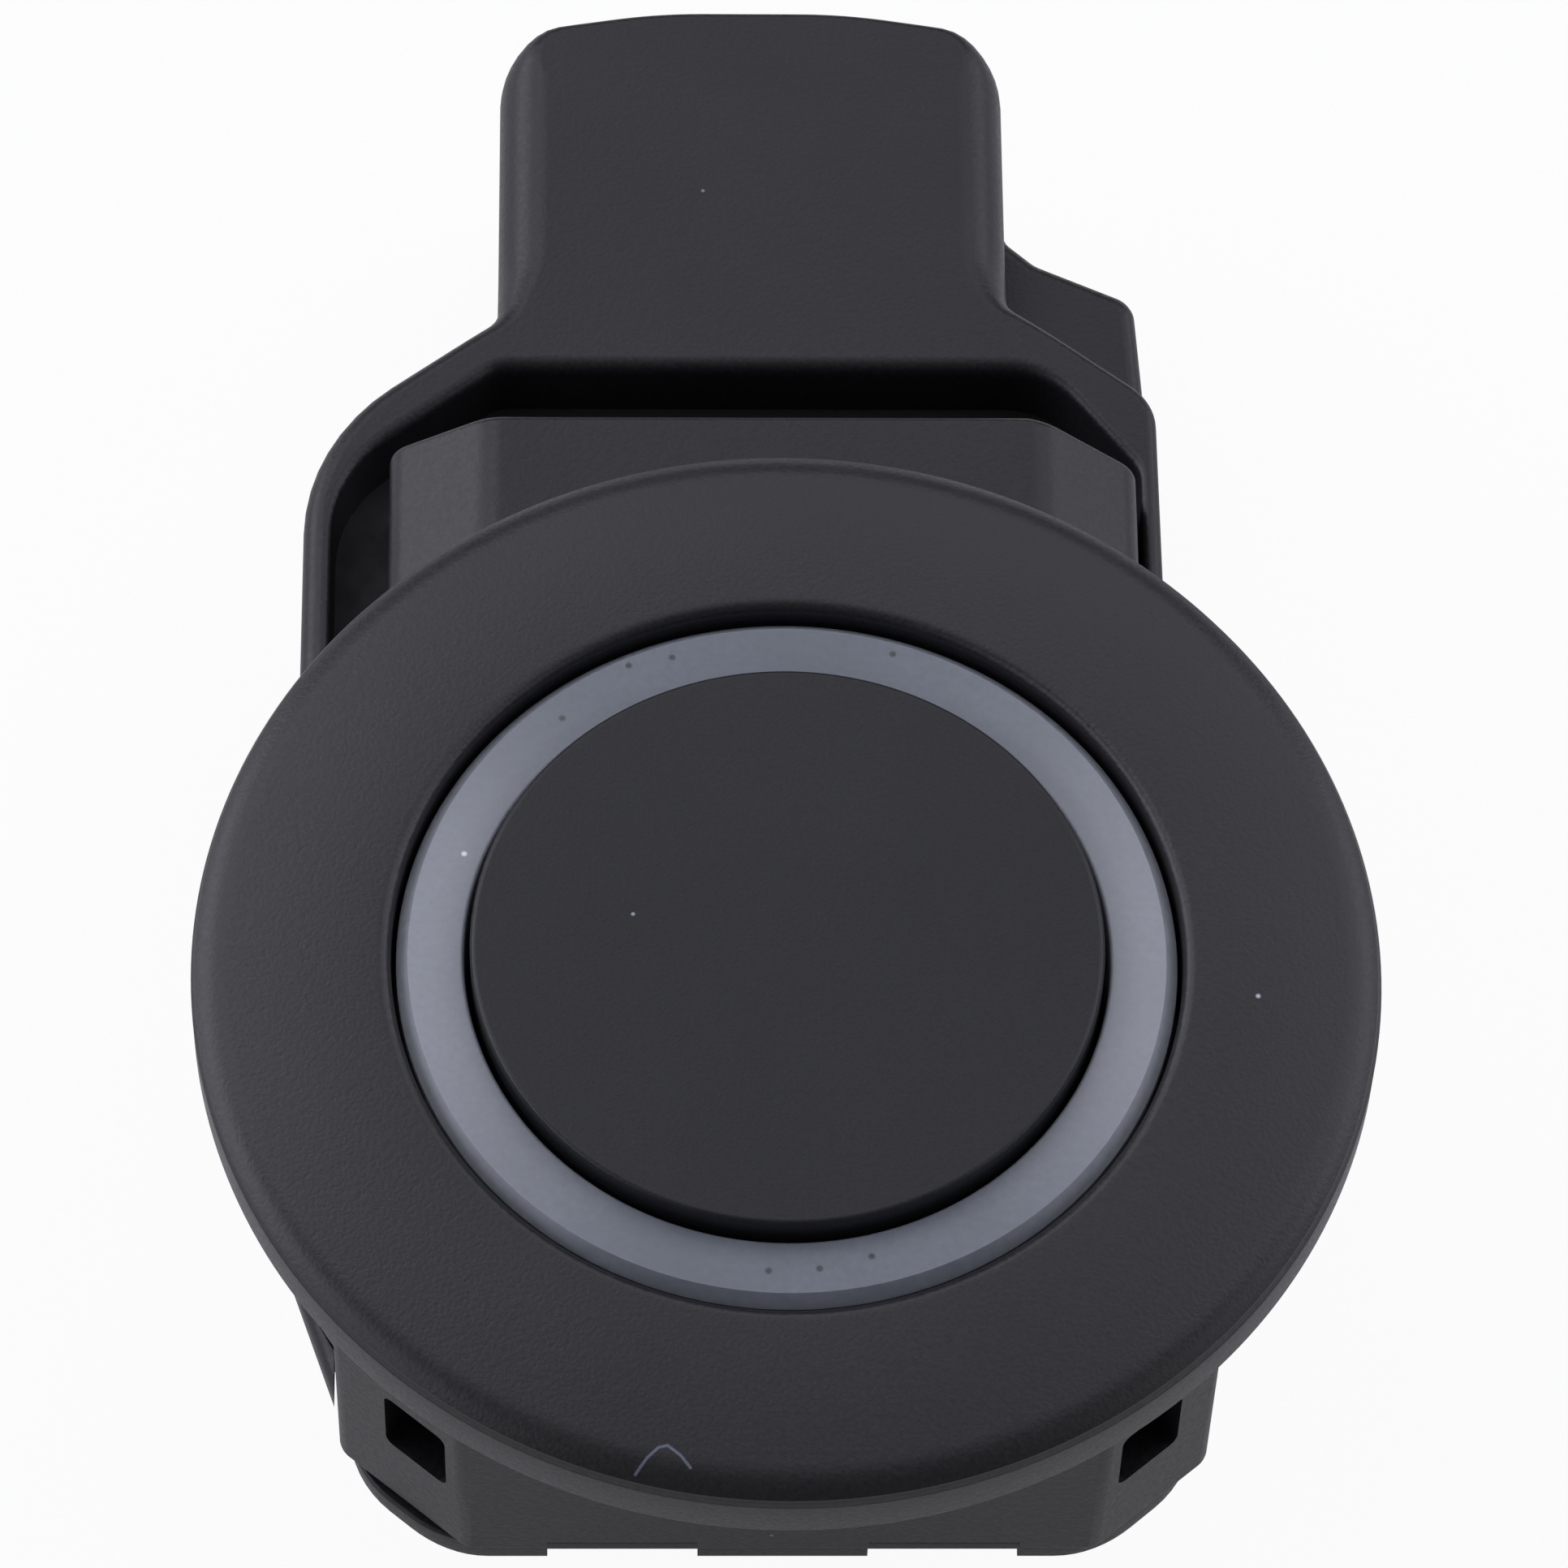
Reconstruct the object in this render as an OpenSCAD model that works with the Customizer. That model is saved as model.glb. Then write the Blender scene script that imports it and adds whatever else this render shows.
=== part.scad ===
// Parking sensor for a bumper, lying on its back with the sounding face up.
// Millimetres. The origin is on the sounding axis, in the plane where the bezel's flange
// seats on the bumper skin. +Z points out of the face, +Y towards the connector.

/* [Sounding face] */
// Diameter of the sounding face
face_d = 15.5; // [14:0.1:17]
// Height of the sounding face above the flange seat
face_z = 2.45; // [2:0.05:3.5]
// Length of the transducer cup along its axis
cup_l = 8.45; // [7.5:0.05:8.8]
// Thickness of the sounding face
face_t = 0.9; // [0.5:0.05:1.5]
// Wall of the transducer cup
cup_wall = 1.15; // [0.8:0.05:1.5]
// Thickness of the rim at the back of the cup
cup_rim_t = 1.5; // [1:0.1:2]
// Rounding of the sounding face's edge
face_edge_r = 0.25; // [0.1:0.05:0.4]

/* [Decoupling ring] */
// Gap between the cup and the decoupling ring
ring_gap = 0.15; // [0.05:0.01:0.25]
// Radial thickness of the decoupling ring
ring_t = 1.35; // [1:0.05:1.8]
// How far the ring's face lies below the sounding face
ring_drop = 0.6; // [0.2:0.05:1]
// Rounding of the ring's front edges
ring_edge_r = 0.12; // [0.05:0.01:0.3]

/* [Bezel] */
// Diameter of the flange
flange_d = 29.2; // [28:0.1:34]
// Thickness of the flange at its outer edge
flange_t = 1.7; // [1.2:0.1:2.5]
// Rise of the flange's face from its outer edge to the opening
flange_crown = 0.4; // [0:0.05:0.8]
// Rounding of the flange's outer edge
flange_edge_r = 0.45; // [0.2:0.05:0.6]
// Rounding of the flange's rear edge
flange_rear_r = 0.2; // [0.1:0.05:0.4]
// Gap between the decoupling ring and the bezel's opening
opening_gap = 0.35; // [0.2:0.05:0.6]
// Rounding of the opening's edge
opening_r = 0.4; // [0.2:0.05:0.6]
// How far the lip round the opening reaches behind the seat
lip_depth = 0.8; // [0.4:0.1:1.5]
// Wall of the bezel's collar
collar_wall = 0.85; // [0.6:0.05:1.2]

/* [Front housing] */
// Room for the bumper skin between the flange and the housing
skin_t = 2.9; // [2.3:0.1:3.5]
// Depth of the front housing behind the bumper skin
front_depth = 6.1; // [5.8:0.1:8]
// Wall of the neck round the decoupling ring
neck_wall = 1.05; // [0.8:0.05:1.4]
// Width of the block behind the bezel
block_w = 21.6; // [21:0.1:23]
// Distance from the axis to the block's flat lower end
block_end = 11; // [10.5:0.1:12]
// Radius about the axis that trims the block's corners
block_corner_r = 13.7; // [13.3:0.1:14.2]
// Wall of the front housing
wall = 1.1; // [0.9:0.05:1.4]
// Thickness of the front housing's roof
roof_t = 1; // [0.8:0.05:1.4]
// Width of the arm that carries on towards the connector
arm_w = 19.5; // [18:0.1:19.5]
// Width of the arm's flat roof between its bevels
arm_roof_w = 14.6; // [12:0.1:16]
// Drop of the arm's bevels
arm_drop = 1.7; // [1:0.1:2.5]
// Distance from the axis to the arm's end
arm_end = 18.75; // [18.6:0.05:20]
// Sideways place of the arm
arm_x = -0.3; // [-0.5:0.05:0]
// Angle of the corner windows from the lower end
window_angle = 42; // [41:0.5:45]
// Width of a corner window
window_w = 2.15; // [1.5:0.05:2.5]
// Height of a corner window
window_h = 2.85; // [2:0.05:3]
// Height of a window's sill above the joint with the rear housing
window_sill = 2.6; // [2:0.1:3]
// Width of the shallow notches in the lower end
notch_w = 3.4; // [2:0.1:4]
// Sideways place of the notches
notch_x = 4; // [3:0.1:5]
// Height of the notches
notch_h = 0.35; // [0.1:0.05:0.6]

/* [Rear housing] */
// Depth of the rear housing behind the joint
rear_depth = 6.5; // [6.4:0.1:8]
// Height of the rear housing's rim above the joint
rim_h = 2.8; // [2:0.1:3.2]
// Thickness of the rim
rim_t = 0.6; // [0.5:0.05:0.6]
// Distance from the axis to the rear housing's left side
tray_left = 12.45; // [12:0.05:13.5]
// Distance from the axis to the rear housing's right side
tray_right = 10.35; // [10.35:0.05:11.5]
// Distance from the axis to the rear housing's lower end
tray_low = 7.6; // [7.3:0.1:8.5]
// Gap between the arm's end and the rim
moat_w = 3.65; // [3:0.05:4]
// Inset of the seat plate from the block's outline
plate_inset = 0.5; // [0.3:0.1:0.8]
// Thickness of the seat plate
plate_t = 1; // [0.8:0.1:1.5]
// Thickness of the rear wall
floor_t = 1.1; // [0.9:0.1:1.1]
// Height of the sealing bead in the moat
seal_h = 0.8; // [0.4:0.1:1.2]

/* [Connector] */
// Width of the connector shroud
shroud_w = 13.6; // [13:0.1:15]
// Length of the shroud beyond the rim
shroud_l = 11; // [10.5:0.1:13]
// Sideways place of the shroud
shroud_x = -0.6; // [-1:0.1:0]
// Rounding of the shroud's long edges
shroud_edge_r = 1.6; // [1:0.1:2]
// Rounding of the shroud's mouth corners, seen from the front
shroud_corner_r = 2.2; // [1.5:0.1:2.5]
// Radius of the shroud's bowed mouth
mouth_bow_r = 27; // [20:1:60]
// Wall of the shroud
shroud_wall = 1.3; // [1:0.05:1.5]
// Rounding of the socket's corners
socket_r = 0.8; // [0.4:0.1:1.2]
// Width of the latch window in the shroud's rear wall
latch_w = 4; // [3:0.1:5]
// Length of the latch window
latch_l = 2.4; // [1.5:0.1:3]
// Distance from the mouth to the latch window
latch_inset = 2.4; // [2:0.1:3]
// Height of the lug beside the shroud
lug_h = 5.5; // [4:0.1:6]
// Reach of the lug past the rim
lug_l = 3.6; // [3:0.1:4.5]
// Distance between two terminals
pitch = 2.54; // [2:0.01:3]
// Side of a square terminal
pin_w = 0.64; // [0.5:0.01:0.8]
// Distance from the mouth to the terminals' tips
pin_recess = 4.6; // [4.4:0.1:5]
// Length of a terminal's tail on the board
pin_tail = 1.3; // [0.8:0.1:1.5]

/* [Electronics] */
// Thickness of the circuit board
board_t = 1; // [0.8:0.1:1.2]
// Width of the circuit board
board_w = 16.4; // [16:0.1:17]
// Distance from the axis to the board's lower end
board_low = 5.6; // [5:0.1:6]
// Depth of the board's front behind the joint
board_depth = 2.2; // [2.2:0.1:2.8]
// Width of the ledge that carries the board
ledge_w = 1.2; // [0.8:0.1:1.5]
// Diameter of the ceramic disc
piezo_d = 9; // [7:0.1:10]
// Thickness of the ceramic disc
piezo_t = 0.6; // [0.3:0.05:0.8]
// Thickness of the damping pad
pad_t = 2; // [1.5:0.1:2.5]
// Length of the silicone plug behind the pad
backing_l = 4.1; // [3:0.1:4.5]
// Thickness of the ring that holds the cup in the neck
retainer_t = 1; // [0.8:0.1:1.2]
// Radial width of that ring
retainer_w = 2; // [1.5:0.1:2.5]
// Diameter of the two wires
lead_d = 0.44; // [0.3:0.02:0.6]
// Distance from the axis to the signal wire
signal_x = 2; // [1.5:0.1:3]
// Distance from the axis to the earth wire
ground_x = 5.5; // [5.4:0.1:5.8]
// Body of the control chip
chip = [7, 4, 1.5]; // [1:0.1:8]
// Place of the control chip on the board
chip_at = [0, 4.5]; // [-5:0.1:8]
// Legs on each side of the control chip
chip_legs = 7; // [4:1:8]
// Outer size of the transformer's core
core = [7, 3, 4.8]; // [2:0.1:8]
// Distances of the transformer from the board's left side and its end
core_inset = [3.8, 4.25]; // [3.6:0.05:4.5]
// Diameter and height of the storage capacitor
can = [4, 4.8]; // [3:0.1:5]
// Distances of the storage capacitor from the board's right side and its end
can_inset = [3.3, 4.45]; // [2.5:0.05:5]
// Size of a chip capacitor
cap = [1.6, 0.8, 0.8]; // [0.3:0.05:2]
// Size of a chip resistor
res = [1.6, 0.8, 0.45]; // [0.3:0.05:2]
// Body of the clamp diode
diode = [2.7, 1.6, 1.1]; // [0.8:0.1:3]
// Distance of the clamp diode from the board's right side
diode_inset = 2; // [1.5:0.1:2.5]
// Distance of the outer chips from the board's sides
side_margin = 2.2; // [1.8:0.1:2.6]
// Distance of the lower row of chips from the axis
row_low = 3; // [2.5:0.1:4]
// Spacing of the chips along a row
chip_pitch = 2.6; // [2.2:0.1:3]
// Spacing of the rows of chips
row_pitch = 1.8; // [1.4:0.1:2]

/* [Fits] */
// Clearance of a piece that slides into another
fit = 0.1; // [0.05:0.01:0.15]
// Clearance of a piece that is pressed into another
press = 0.05; // [0.02:0.01:0.08]

/* [Hidden] */
$fn = 96;
over = 1;
arc_steps = 8;

// Radii about the sounding axis
face_r = face_d / 2;
ring_in_r = face_r + ring_gap;
ring_out_r = ring_in_r + ring_t;
neck_bore_r = ring_out_r + press;
neck_r = neck_bore_r + neck_wall;
opening_rad = ring_out_r + opening_gap;
collar_in_r = neck_r + fit;
collar_r = collar_in_r + collar_wall;
flange_r = flange_d / 2;
cup_bore_r = face_r - cup_wall;
cup_rim_r = neck_bore_r - press;
plug_r = cup_bore_r - press;

// Heights along the sounding axis
ring_z = face_z - ring_drop;
cup_z = face_z - cup_l;
rim_front_z = cup_z + cup_rim_t;
face_back_z = face_z - face_t;
piezo_z = face_back_z - piezo_t;
pad_z = piezo_z - pad_t;
backing_z = pad_z - backing_l;
retainer_z = cup_z - retainer_t;
flange_in_z = flange_t + flange_crown;
roof_z = -skin_t;
joint_z = roof_z - front_depth;
bevel_z = roof_z - arm_drop;
cavity_z = roof_z - roof_t;
rim_z = joint_z + rim_h;
rear_z = joint_z - rear_depth;
board_z = joint_z - board_depth;
ledge_z = board_z - board_t;

// Places along the arm and the connector
arm_left = arm_x - arm_w / 2;
arm_right = arm_x + arm_w / 2;
moat_y = arm_end + moat_w;
rim_y = moat_y + rim_t;
mouth_y = rim_y + shroud_l;
socket_y = moat_y + shroud_wall;
pocket_end = arm_end - wall + fit;
board_end = pocket_end - fit;
pin_y0 = board_end - pin_tail;
pin_y1 = mouth_y - pin_recess;
pocket_w = board_w + 2 * fit;

// Places of the pieces on the board
chips_left = -board_w / 2 + side_margin;
chips_right = board_w / 2 - side_margin;
core_at = [-board_w / 2 + core_inset.x, board_end - core_inset.y];
can_at = [board_w / 2 - can_inset.x, board_end - can_inset.y];
diode_at = [board_w / 2 - diode_inset, chip_at.y + chip.y / 2];
above_chip = chip_at.y + chip.y / 2 + row_pitch;
shroud_z = (rim_z + rear_z) / 2;
shroud_h = rim_z - rear_z;

// Points of an arc about a centre
function arc(c, r, a0, a1) =
    [for (i = [0:arc_steps]) let (a = a0 + (a1 - a0) * i / arc_steps) c + r * [cos(a), sin(a)]];
function unit(v) = v / norm(v);

// Arc that rounds the corner p between its neighbours a and b
function corner(a, p, b, r) =
    let (u = unit(a - p),
         v = unit(b - p),
         half = acos(u * v) / 2,
         c = p + unit(u + v) * r / sin(half),
         s = p + u * r / tan(half) - c,
         e = p + v * r / tan(half) - c,
         a0 = atan2(s.y, s.x),
         sweep = (atan2(e.y, e.x) - a0 + 540) % 360 - 180)
    arc(c, r, a0, a0 + sweep);

// Outline with every corner [x, y, r] rounded
function rounded(pts) =
    let (n = len(pts), at = [for (p = pts) [p.x, p.y]])
    [for (i = [0:n - 1]) each corner(at[(i + n - 1) % n], at[i], at[(i + 1) % n], pts[i].z)];

// Corners moved inwards by t, for corners listed anticlockwise
function inset(pts, t) =
    let (n = len(pts), at = [for (p = pts) [p.x, p.y]])
    [for (i = [0:n - 1])
        let (u = unit(at[i] - at[(i + n - 1) % n]),
             v = unit(at[(i + 1) % n] - at[i]),
             nu = [-u.y, u.x],
             nv = [-v.y, v.x],
             q = at[i] + t * (nu + nv) / (1 + nu * nv))
        [q.x, q.y, max(pts[i].z - t, rim_t)]];

// Corners of the rear housing, each with its rounding
corner_small = 1.4;
corner_mid = 2.4;
corner_wide = 4.5;
shoulder_left = 4.25;
shoulder_right = 1.9;
shoulder_drop = 3.5;
shoulder_drop_right = 2.9;
taper_y = 0.6;
taper_low = 0.9;
heel_left = 9.8;
heel_right = 8.2;
heel_drop = 2.6;
tray = [[heel_right, -tray_low, corner_mid],
        [tray_right, -tray_low + heel_drop, corner_mid],
        [tray_right, rim_y - shoulder_drop_right, corner_small],
        [tray_right - shoulder_right, rim_y, corner_small],
        [shoulder_left - tray_left, rim_y, corner_small],
        [-tray_left, rim_y - shoulder_drop, corner_wide],
        [-tray_left, -taper_y, corner_mid],
        [-heel_left, -tray_low + taper_low, corner_mid],
        [-heel_left + heel_drop, -tray_low, corner_mid]];

// Rounded rectangle about the origin
module round_rect(w, h, r) {
    square([w - 2 * r, h], center = true);
    square([w, h - 2 * r], center = true);
    for (x = [-1, 1], y = [-1, 1]) translate([x * (w / 2 - r), y * (h / 2 - r)]) circle(r);
}

// Prism between two heights
module rise(z0, z1) {
    translate([0, 0, z0]) linear_extrude(z1 - z0) children();
}

// Prism along +Y between two places, drawn in X and Z
module reach(y0, y1) {
    translate([0, y1, 0]) rotate([90, 0, 0]) linear_extrude(y1 - y0) children();
}

// Disc or tube about a point of the board or the axis
module disc(r, z0, z1, at = [0, 0]) {
    translate([at.x, at.y, z0]) cylinder(r = r, h = z1 - z0);
}

// Outline of the block behind the bezel, grown by g
module block_outline(g) {
    intersection() {
        square([block_w + 2 * g, 2 * (block_end + g)], center = true);
        circle(block_corner_r + g);
    }
}

// Section of the arm, shrunk by t
module arm_section(t, top, floor_z) {
    polygon([[arm_left + t, floor_z],
             [arm_right - t, floor_z],
             [arm_right - t, bevel_z - (roof_z - top)],
             [arm_x + arm_roof_w / 2, top],
             [arm_x - arm_roof_w / 2, top],
             [arm_left + t, bevel_z - (roof_z - top)]]);
}

// Footprint of the front housing on the joint, grown by g
module front_footprint(g) {
    block_outline(g);
    translate([arm_left - g, 0]) square([arm_w + 2 * g, arm_end + g]);
}

module bezel() {
    dome_r0 = opening_rad + opening_r;
    dome_r1 = flange_r - flange_edge_r;
    dome = [for (i = [0:arc_steps]) let (s = i / arc_steps)
            [dome_r0 + (dome_r1 - dome_r0) * s, flange_in_z - flange_crown * s * s]];
    color("#2b2a2d") rotate_extrude()
        polygon(concat(
            [[opening_rad, -lip_depth]],
            arc([dome_r0, flange_in_z - opening_r], opening_r, 180, 90),
            [for (i = [1:arc_steps - 1]) dome[i]],
            arc([dome_r1, flange_t - flange_edge_r], flange_edge_r, 90, 0),
            arc([flange_r - flange_rear_r, flange_rear_r], flange_rear_r, 0, -90),
            [[collar_r, 0], [collar_r, roof_z], [collar_in_r, roof_z], [collar_in_r, -lip_depth]]));
}

module decoupling_ring() {
    color("#71757e") rotate_extrude()
        polygon(concat(
            [[ring_in_r, rim_front_z]],
            arc([ring_in_r + ring_edge_r, ring_z - ring_edge_r], ring_edge_r, 180, 90),
            arc([ring_out_r - ring_edge_r, ring_z - ring_edge_r], ring_edge_r, 90, 0),
            [[ring_out_r, rim_front_z]]));
}

module transducer_cup() {
    color("#272629") rotate_extrude()
        polygon(concat(
            [[0, face_back_z], [0, face_z]],
            arc([face_r - face_edge_r, face_z - face_edge_r], face_edge_r, 90, 0),
            [[face_r, rim_front_z], [cup_rim_r, rim_front_z], [cup_rim_r, cup_z],
             [cup_bore_r, cup_z], [cup_bore_r, face_back_z]]));
}

module piezo_disc() {
    color("#c9c2ac") disc(piezo_d / 2, piezo_z, face_back_z);
}

// Holes for the two wires
module lead_holes(z0, z1) {
    for (x = [signal_x, -ground_x]) disc(lead_d / 2 + press, z0 - over, z1 + over, [x, 0]);
}

module damping_pad() {
    color("#8f8b80") difference() {
        disc(plug_r, pad_z, piezo_z);
        lead_holes(pad_z, piezo_z);
    }
}

module cup_backing() {
    color("#b9bcc0") difference() {
        disc(plug_r, backing_z, pad_z);
        lead_holes(backing_z, pad_z);
    }
}

module retaining_ring() {
    color("#3a3a3d") difference() {
        disc(neck_bore_r - press, retainer_z, cup_z);
        disc(neck_bore_r - retainer_w, retainer_z - over, cup_z + over);
    }
}

module signal_lead() {
    color("#b5402f") disc(lead_d / 2, board_z, piezo_z, [signal_x, 0]);
}

module ground_lead() {
    color("#2f2f31") disc(lead_d / 2, board_z, face_back_z, [-ground_x, 0]);
}

module front_housing() {
    neck_top = -lip_depth;
    window_r0 = neck_r + fit;
    window_z = joint_z + window_sill;
    color("#2c2b2e") difference() {
        union() {
            difference() {
                union() {
                    rise(joint_z, roof_z) block_outline(0);
                    reach(0, arm_end) arm_section(0, roof_z, joint_z);
                }
                rise(joint_z - over, cavity_z) block_outline(-wall);
                reach(0, arm_end - wall) arm_section(wall, cavity_z, joint_z - over);
            }
            disc(neck_r, retainer_z, neck_top);
        }
        disc(neck_bore_r, retainer_z - over, neck_top + over);
        for (side = [-1, 1])
            rotate(-90 + side * window_angle)
                translate([window_r0, -window_w / 2, window_z]) cube([block_corner_r, window_w, window_h]);
        for (side = [-1, 1])
            translate([side * notch_x - notch_w / 2, -block_end - over, joint_z - over])
                cube([notch_w, wall + over, notch_h + over]);
    }
}

// Plan of the connector shroud, with a bowed mouth and rounded mouth corners
module shroud_plan() {
    translate([shroud_x, 0]) intersection() {
        translate([0, moat_y]) polygon(rounded([
            [shroud_w / 2, 0, corner_small / 2],
            [shroud_w / 2, mouth_y - moat_y, shroud_corner_r],
            [-shroud_w / 2, mouth_y - moat_y, shroud_corner_r],
            [-shroud_w / 2, 0, corner_small / 2]]));
        translate([0, mouth_y - mouth_bow_r]) circle(mouth_bow_r);
    }
}

// Gussets that blend the shroud's sides into the rear housing's shoulders
module gusset_plan() {
    left = shroud_x - shroud_w / 2;
    difference() {
        translate([left - corner_mid / 2, moat_y]) square([corner_mid, rim_t + corner_mid / 2]);
        translate([left - corner_mid / 2, rim_y + corner_mid / 2]) circle(corner_mid / 2);
    }
}

// Plan of the lug beside the shroud
module lug_plan() {
    right = shroud_x + shroud_w / 2;
    polygon(rounded([
        [right - corner_mid, moat_y - over, corner_small / 2],
        [tray_right, moat_y - over, corner_small / 2],
        [tray_right - rim_t / 2, rim_y + lug_l, corner_small],
        [right - corner_mid, rim_y + lug_l + corner_mid, corner_small / 2]]));
}

module rear_housing() {
    left = shroud_x - shroud_w / 2;
    socket = [shroud_w - 2 * shroud_wall, shroud_h - 2 * shroud_wall];
    color("#2a292c") difference() {
        union() {
            rise(joint_z - plate_t, joint_z) block_outline(-plate_inset);
            rise(rear_z, joint_z) polygon(rounded(tray));
            difference() {
                rise(joint_z, rim_z) polygon(rounded(tray));
                rise(joint_z - over, rim_z + over) polygon(rounded(inset(tray, rim_t)));
                rise(joint_z - over, rim_z + over) block_outline(fit);
            }
            intersection() {
                rise(rear_z, rim_z) shroud_plan();
                reach(moat_y, mouth_y + over)
                    translate([shroud_x, shroud_z]) round_rect(shroud_w, shroud_h, shroud_edge_r);
            }
            rise(rear_z, rim_z) gusset_plan();
            rise(rear_z, rear_z + lug_h) lug_plan();
        }
        // Room for the board, with a ledge under its two long sides
        translate([-pocket_w / 2, -board_low - fit, ledge_z])
            cube([pocket_w, board_low + fit + pocket_end, rear_depth]);
        translate([-pocket_w / 2 + ledge_w, -board_low - fit + ledge_w, rear_z + floor_t])
            cube([pocket_w - 2 * ledge_w, board_low + pocket_end - 2 * ledge_w, rear_depth]);
        // Socket of the connector, with its latch window and the terminals' slots
        reach(socket_y, mouth_y + over)
            translate([shroud_x, shroud_z]) round_rect(socket.x, socket.y, socket_r);
        translate([shroud_x - latch_w / 2, mouth_y - latch_inset - latch_l, rear_z - over])
            cube([latch_w, latch_l, shroud_wall + 2 * over]);
        for (i = [-1:1])
            translate([shroud_x + i * pitch - pin_w / 2 - press, pocket_end - over, board_z - press])
                cube([pin_w + 2 * press, socket_y - pocket_end + 2 * over, pin_w + 2 * press]);
    }
}

module housing_seal() {
    color("#1d1d1f") difference() {
        rise(joint_z, joint_z + seal_h) polygon(rounded(inset(tray, rim_t + press)));
        rise(joint_z - over, rim_z) front_footprint(press);
        translate([-tray_left, -tray_low - over, joint_z - over]) cube([tray_left + tray_right, tray_low, rim_h]);
    }
}

module circuit_board() {
    color("#2f6b45") translate([-board_w / 2, -board_low, ledge_z])
        cube([board_w, board_low + board_end, board_t]);
}

module control_chip() {
    foot = [0.4, 1, 0.2];
    stand = 0.1;
    leg_pitch = chip.x / chip_legs;
    color("#232326") translate([chip_at.x, chip_at.y, board_z]) {
        translate([-chip.x / 2, -chip.y / 2, stand]) cube(chip);
        for (i = [0:chip_legs - 1], side = [0, 1])
            mirror([0, side, 0]) translate([(i + 0.5) * leg_pitch - chip.x / 2 - foot.x / 2, chip.y / 2, 0]) {
                cube(foot);
                cube([foot.x, foot.z, stand + chip.z / 2]);
            }
    }
}

// Sizes inside the transformer
core_leg = 2;
core_side = 1;
core_plate = 0.8;
core_window = (core.x - core_leg - 2 * core_side) / 2;
bobbin_wall = 0.3;
bobbin_flange_t = 0.35;
bobbin_side = 1.1;
bobbin_h = core.z - 2 * core_plate - 2 * press;
tube = [core_leg + 2 * (press + bobbin_wall), core.y + 2 * (press + bobbin_wall)];
spool = [core_leg + 2 * (core_window - press), core.y + 2 * bobbin_side];

module transformer_core() {
    color("#4a4744") translate([core_at.x, core_at.y, board_z]) difference() {
        translate([-core.x / 2, -core.y / 2, 0]) cube(core);
        for (side = [-1, 1])
            translate([side * (core_leg + core_window) / 2 - core_window / 2, -core.y / 2 - over, core_plate])
                cube([core_window, core.y + 2 * over, core.z - 2 * core_plate]);
    }
}

// Square ring about the transformer's leg
module spool_ring(size, hole, z0, h) {
    translate([0, 0, z0]) linear_extrude(h) difference() {
        square(size, center = true);
        square(hole, center = true);
    }
}

module transformer_bobbin() {
    leg = [core_leg + 2 * press, core.y + 2 * press];
    z0 = core_plate + press;
    color("#d8d2c0") translate([core_at.x, core_at.y, board_z]) {
        spool_ring(tube, leg, z0, bobbin_h);
        spool_ring(spool, leg, z0, bobbin_flange_t);
        spool_ring(spool, leg, z0 + bobbin_h - bobbin_flange_t, bobbin_flange_t);
    }
}

module transformer_winding() {
    hole = [tube.x + 2 * press, tube.y + 2 * press];
    z0 = core_plate + press + bobbin_flange_t + press;
    color("#a8613a") translate([core_at.x, core_at.y, board_z])
        spool_ring(spool - [2 * press, 2 * press], hole, z0, bobbin_h - 2 * (bobbin_flange_t + press));
}

module storage_capacitor() {
    base_t = 0.6;
    base_w = can[0] + 2 * fit;
    color("#b8babd") translate([can_at.x, can_at.y, board_z]) {
        translate([-base_w / 2, -base_w / 2, 0]) cube([base_w, base_w, base_t]);
        cylinder(d = can[0], h = can[1]);
    }
}

// Small blocks on the board, centred on their places
module on_board(size, places) {
    for (p = places) translate([p.x - size.x / 2, p.y - size.y / 2, board_z]) cube(size);
}

module chip_capacitors() {
    color("#b59a6c") on_board(cap, concat(
        [for (i = [0:2]) [chips_left, chip_at.y + i * row_pitch]],
        [[chips_right, row_low], [1.5 * chip_pitch, -row_low]]));
}

module chip_resistors() {
    color("#1c1c1e") on_board(res, concat(
        [for (i = [0:2]) [(i - 1.5) * chip_pitch, -row_low]],
        [[chips_right, row_low - row_pitch], [chip_at.x, above_chip]]));
}

module clamp_diode() {
    color("#262629") on_board(diode, [diode_at]);
}

// One of the three terminals, from its tail on the board to its tip in the socket
module terminal(i) {
    color("#c6b27a") translate([shroud_x + i * pitch - pin_w / 2, pin_y0, board_z])
        cube([pin_w, pin_y1 - pin_y0, pin_w]);
}

module terminal_supply() { terminal(-1); }
module terminal_signal() { terminal(0); }
module terminal_ground() { terminal(1); }

bezel();
decoupling_ring();
transducer_cup();
piezo_disc();
damping_pad();
cup_backing();
retaining_ring();
signal_lead();
ground_lead();
front_housing();
rear_housing();
housing_seal();
circuit_board();
control_chip();
transformer_core();
transformer_bobbin();
transformer_winding();
storage_capacitor();
chip_capacitors();
chip_resistors();
clamp_diode();
terminal_supply();
terminal_signal();
terminal_ground();
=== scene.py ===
"""Parking sensor lying on its back, seen from above its lower end, on a pale studio floor."""
import math

import bmesh
import bpy
from mathutils import Matrix, Vector


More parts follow.
